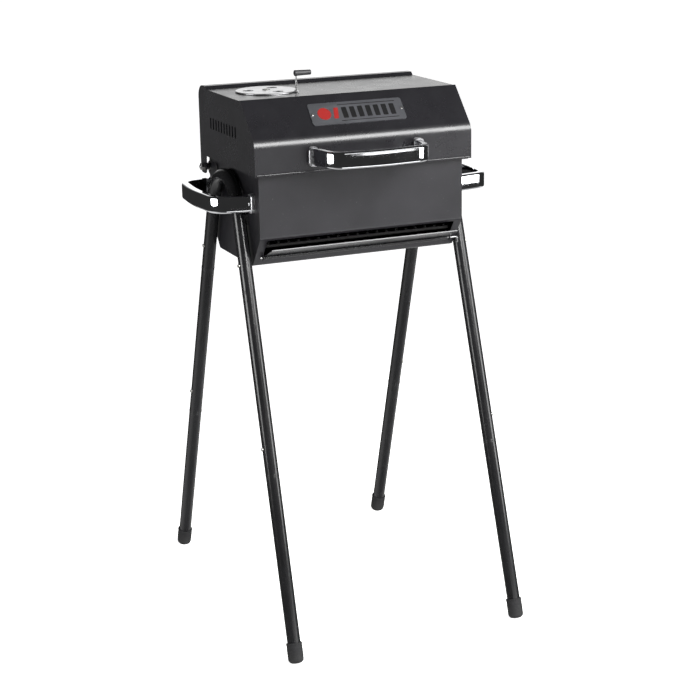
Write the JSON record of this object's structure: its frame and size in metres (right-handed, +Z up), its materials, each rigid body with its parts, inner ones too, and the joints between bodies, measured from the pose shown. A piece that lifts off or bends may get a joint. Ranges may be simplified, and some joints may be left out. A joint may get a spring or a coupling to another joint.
{
  "type": "portable charcoal grill",
  "caption": "Lidded sheet-metal charcoal grill on push-together tube legs, with bow handles, top damper, front air flap and lift-out grates.",
  "frame": {"origin": "centre of the leg frame on the floor", "axes": "+Z up, +X right along the firebox length, -Y toward the front with the air flap and the lid handle"},
  "size_m": [0.5762, 0.6758, 1.0455],
  "materials": {
    "lid_coat": "satin heat-resistant powder coat",
    "firebox_coat": "satin heat-resistant powder coat",
    "flap_coat": "satin powder coat",
    "tube_coat": "semi-gloss powder coat",
    "saddle_plastic": "matte",
    "foot_rubber": "matte moulded",
    "button_zinc": "zinc plated",
    "fastener_zinc": "zinc plated",
    "handle_chrome": "polished",
    "shoe_metal": "satin light metal",
    "coal_grate_steel": "dark heat-resistant coat",
    "wire_steel": "bright drawn",
    "damper_steel": "bright sheet",
    "grip_plastic": "matte heat-resistant",
    "badge_metal": null,
    "grate_chrome": "plated wire"
  },
  "bodies": {
    "firebox_and_legs": {"firebox_shell": "firebox_coat", "firebox_end_left": "firebox_coat", "firebox_end_right": "firebox_coat", "grate_ledge_front": "firebox_coat", "grate_ledge_rear": "firebox_coat", "charcoal_rests": "firebox_coat", "hinge_bracket_left": "firebox_coat", "hinge_bracket_right": "firebox_coat", "hinge_studs": "fastener_zinc", "hinge_bushes": "fastener_zinc", "hinge_nuts": "fastener_zinc", "side_handle_left": "handle_chrome", "side_handle_right": "handle_chrome", "side_handle_screws": "fastener_zinc", "side_handle_shoes": "shoe_metal", "leg_arch_left": "tube_coat", "leg_arch_right": "tube_coat", "leg_saddles": "saddle_plastic", "leg_bolts": "fastener_zinc", "flap_lugs": "firebox_coat", "leg_mid_fl": "tube_coat", "leg_mid_fr": "tube_coat", "leg_mid_rl": "tube_coat", "leg_mid_rr": "tube_coat", "leg_lower_fl": "tube_coat", "leg_lower_fr": "tube_coat", "leg_lower_rl": "tube_coat", "leg_lower_rr": "tube_coat", "foot_cap_fl": "foot_rubber", "foot_cap_fr": "foot_rubber", "foot_cap_rl": "foot_rubber", "foot_cap_rr": "foot_rubber"},
    "lid": {"lid_shell": "lid_coat", "lid_end_left": "lid_coat", "lid_end_right": "lid_coat", "lid_handle": "handle_chrome", "lid_handle_screws": "fastener_zinc", "lid_handle_shoes": "shoe_metal", "badge_plate": "badge_metal", "badge_rivets": "fastener_zinc", "damper_pivot": "fastener_zinc"},
    "damper": {"damper_disc": "damper_steel", "damper_lever": "wire_steel", "damper_grip": "grip_plastic"},
    "air_flap": {"air_flap": "flap_coat", "flap_rod": "wire_steel"},
    "cooking_grate": {"cooking_grate": "grate_chrome"},
    "charcoal_grate": {"charcoal_grate": "coal_grate_steel"},
    "snap_button_fl_upper": {"snap_button_fl_upper": "button_zinc"},
    "snap_button_fl_lower": {"snap_button_fl_lower": "button_zinc"},
    "snap_button_fr_upper": {"snap_button_fr_upper": "button_zinc"},
    "snap_button_fr_lower": {"snap_button_fr_lower": "button_zinc"},
    "snap_button_rl_upper": {"snap_button_rl_upper": "button_zinc"},
    "snap_button_rl_lower": {"snap_button_rl_lower": "button_zinc"},
    "snap_button_rr_upper": {"snap_button_rr_upper": "button_zinc"},
    "snap_button_rr_lower": {"snap_button_rr_lower": "button_zinc"}
  },
  "joints": [
    {"name": "lid_hinge", "type": "hinge", "parent": "firebox_and_legs", "child": "lid", "pos_m": [0, 0.1243, 0.853], "axis": [-1, 0, 0], "range_deg": [0, 129]},
    {"name": "damper_turn", "type": "hinge", "parent": "lid", "child": "damper", "pos_m": [-0.128, 0.0123, 1.006], "axis": [0, 0, 1], "range_deg": [0, 60]},
    {"name": "flap_hinge", "type": "hinge", "parent": "firebox_and_legs", "child": "air_flap", "pos_m": [0, -0.11464, 0.71702], "axis": [1, 0, 0], "range_deg": [-28, 34]},
    {"name": "cooking_grate_lift", "type": "slide", "parent": "firebox_and_legs", "child": "cooking_grate", "axis": [0, 0, 1], "range_m": [0, 0.08]},
    {"name": "charcoal_grate_lift", "type": "slide", "parent": "firebox_and_legs", "child": "charcoal_grate", "axis": [0, 0, 1], "range_m": [0, 0.08]},
    {"name": "press_fl_upper", "type": "slide", "parent": "firebox_and_legs", "child": "snap_button_fl_upper", "axis": [0.9999, 0, -0.0119], "range_m": [0, 0.0032], "stiffness_N_per_m": 1500, "springref_m": -0.002},
    {"name": "press_fl_lower", "type": "slide", "parent": "firebox_and_legs", "child": "snap_button_fl_lower", "axis": [0.9999, 0, -0.0119], "range_m": [0, 0.0032], "stiffness_N_per_m": 1500, "springref_m": -0.002},
    {"name": "press_fr_upper", "type": "slide", "parent": "firebox_and_legs", "child": "snap_button_fr_upper", "axis": [-0.9999, 0, -0.0119], "range_m": [0, 0.0032], "stiffness_N_per_m": 1500, "springref_m": -0.002},
    {"name": "press_fr_lower", "type": "slide", "parent": "firebox_and_legs", "child": "snap_button_fr_lower", "axis": [-0.9999, 0, -0.0119], "range_m": [0, 0.0032], "stiffness_N_per_m": 1500, "springref_m": -0.002},
    {"name": "press_rl_upper", "type": "slide", "parent": "firebox_and_legs", "child": "snap_button_rl_upper", "axis": [0.9999, 0, -0.0119], "range_m": [0, 0.0032], "stiffness_N_per_m": 1500, "springref_m": -0.002},
    {"name": "press_rl_lower", "type": "slide", "parent": "firebox_and_legs", "child": "snap_button_rl_lower", "axis": [0.9999, 0, -0.0119], "range_m": [0, 0.0032], "stiffness_N_per_m": 1500, "springref_m": -0.002},
    {"name": "press_rr_upper", "type": "slide", "parent": "firebox_and_legs", "child": "snap_button_rr_upper", "axis": [-0.9999, 0, -0.0119], "range_m": [0, 0.0032], "stiffness_N_per_m": 1500, "springref_m": -0.002},
    {"name": "press_rr_lower", "type": "slide", "parent": "firebox_and_legs", "child": "snap_button_rr_lower", "axis": [-0.9999, 0, -0.0119], "range_m": [0, 0.0032], "stiffness_N_per_m": 1500, "springref_m": -0.002}
  ]
}
